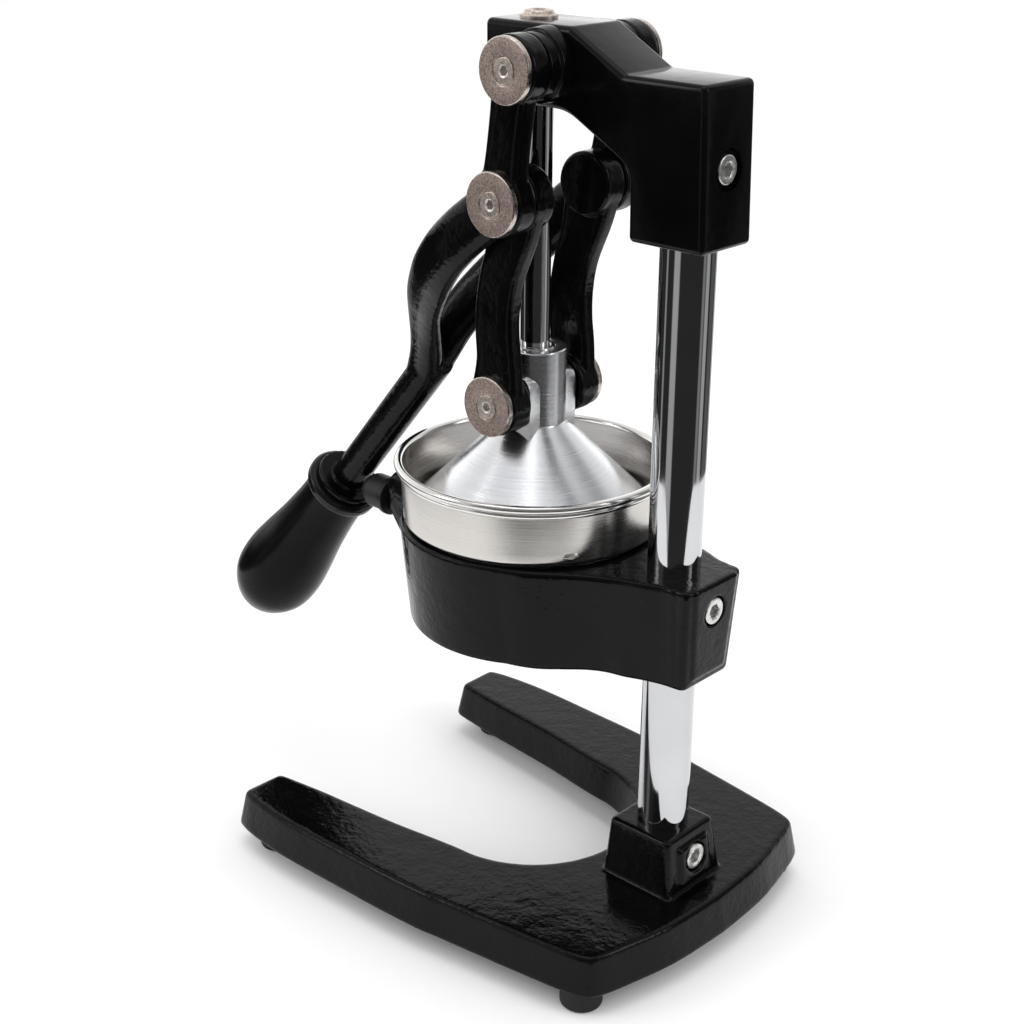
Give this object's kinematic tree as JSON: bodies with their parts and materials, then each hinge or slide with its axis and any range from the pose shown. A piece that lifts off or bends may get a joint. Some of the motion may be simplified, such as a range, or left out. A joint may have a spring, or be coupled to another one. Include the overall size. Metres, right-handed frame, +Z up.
{
  "type": "citrus press juicer",
  "caption": "Upright lever-operated citrus press with a cast U-shaped foot, a steel juice bowl in a ring holder and a conical press head driven by a forked lever and links.",
  "frame": {"origin": "middle of the overall footprint, on the surface the feet stand on", "axes": "+Z up, -Y towards the lever's handle, X across the symmetric width"},
  "size_m": [0.2092, 0.354, 0.4384],
  "materials": {
    "cast_enamel": "glossy black enamel over cast iron",
    "gloss_enamel": "smooth glossy black enamel",
    "rubber": "matte black rubber",
    "rubber_grey": "satin dark grey rubber",
    "zinc": "bright zinc plate",
    "chrome": "polished chrome plate",
    "dark_steel": "black oxide",
    "satin_steel": "satin stainless steel",
    "washer_steel": "turned satin steel",
    "pin_steel": "plain turned steel",
    "bright_aluminium": "polished cast aluminium",
    "bush_brass": "plain turned brass",
    "dark_plastic": "glossy black plastic",
    "grip_plastic": "satin black plastic"
  },
  "bodies": {
    "stand": {"base": "cast_enamel", "rubber_feet": "rubber", "foot_screws": "zinc", "column": "chrome", "base_bolt": "zinc", "cup_holder": "cast_enamel", "holder_bolt": "zinc", "bumper_stud": "dark_steel", "bumper_cap": "rubber_grey", "head": "gloss_enamel", "head_bolt": "zinc", "guide_rod": "chrome", "rod_screw": "washer_steel", "head_pins": "pin_steel", "head_washers": "washer_steel", "head_pin_screws": "pin_steel"},
    "lever": {"lever": "cast_enamel", "grip_ferrule": "dark_plastic", "grip": "grip_plastic", "grip_stud": "zinc", "lever_pins": "pin_steel", "lever_washers": "washer_steel", "lever_pin_screws": "pin_steel"},
    "press": {"press_cone": "bright_aluminium", "hub_bush": "bush_brass"},
    "link_left": {"link_left": "cast_enamel", "link_left_pin": "pin_steel", "link_left_washer": "washer_steel", "link_left_screw": "pin_steel"},
    "link_right": {"link_right": "cast_enamel", "link_right_pin": "pin_steel", "link_right_washer": "washer_steel", "link_right_screw": "pin_steel"},
    "bowl": {"juice_bowl": "satin_steel", "funnel": "satin_steel", "strainer_cone": "satin_steel"}
  },
  "joints": [
    {"name": "lever_swing", "type": "hinge", "parent": "stand", "child": "lever", "pos_m": [0, 0.06876, 0.4171], "axis": [-1, 0, 0], "range_deg": [0, 100]},
    {"name": "press_slide", "type": "slide", "parent": "stand", "child": "press", "axis": [0, 0, 1], "range_m": [0, 0.0817]},
    {"name": "link_left_swing", "type": "hinge", "parent": "press", "child": "link_left", "pos_m": [0.02435, 0.04826, 0.26], "axis": [1, 0, 0], "range_deg": [0, 28.2]},
    {"name": "link_right_swing", "type": "hinge", "parent": "press", "child": "link_right", "pos_m": [-0.02435, 0.04826, 0.26], "axis": [1, 0, 0], "range_deg": [0, 28.2]},
    {"name": "bowl_turn", "type": "hinge", "parent": "stand", "child": "bowl", "pos_m": [0, 0.04826, 0.165], "axis": [0, 0, 1], "range_deg": [-180, 180]}
  ],
  "couplings": [
    {"joint": "press_slide", "follows": "lever_swing", "m_per_rad": 0.046715},
    {"joint": "link_left_swing", "follows": "lever_swing", "ratio": 0.28061},
    {"joint": "link_right_swing", "follows": "lever_swing", "ratio": 0.28061}
  ]
}
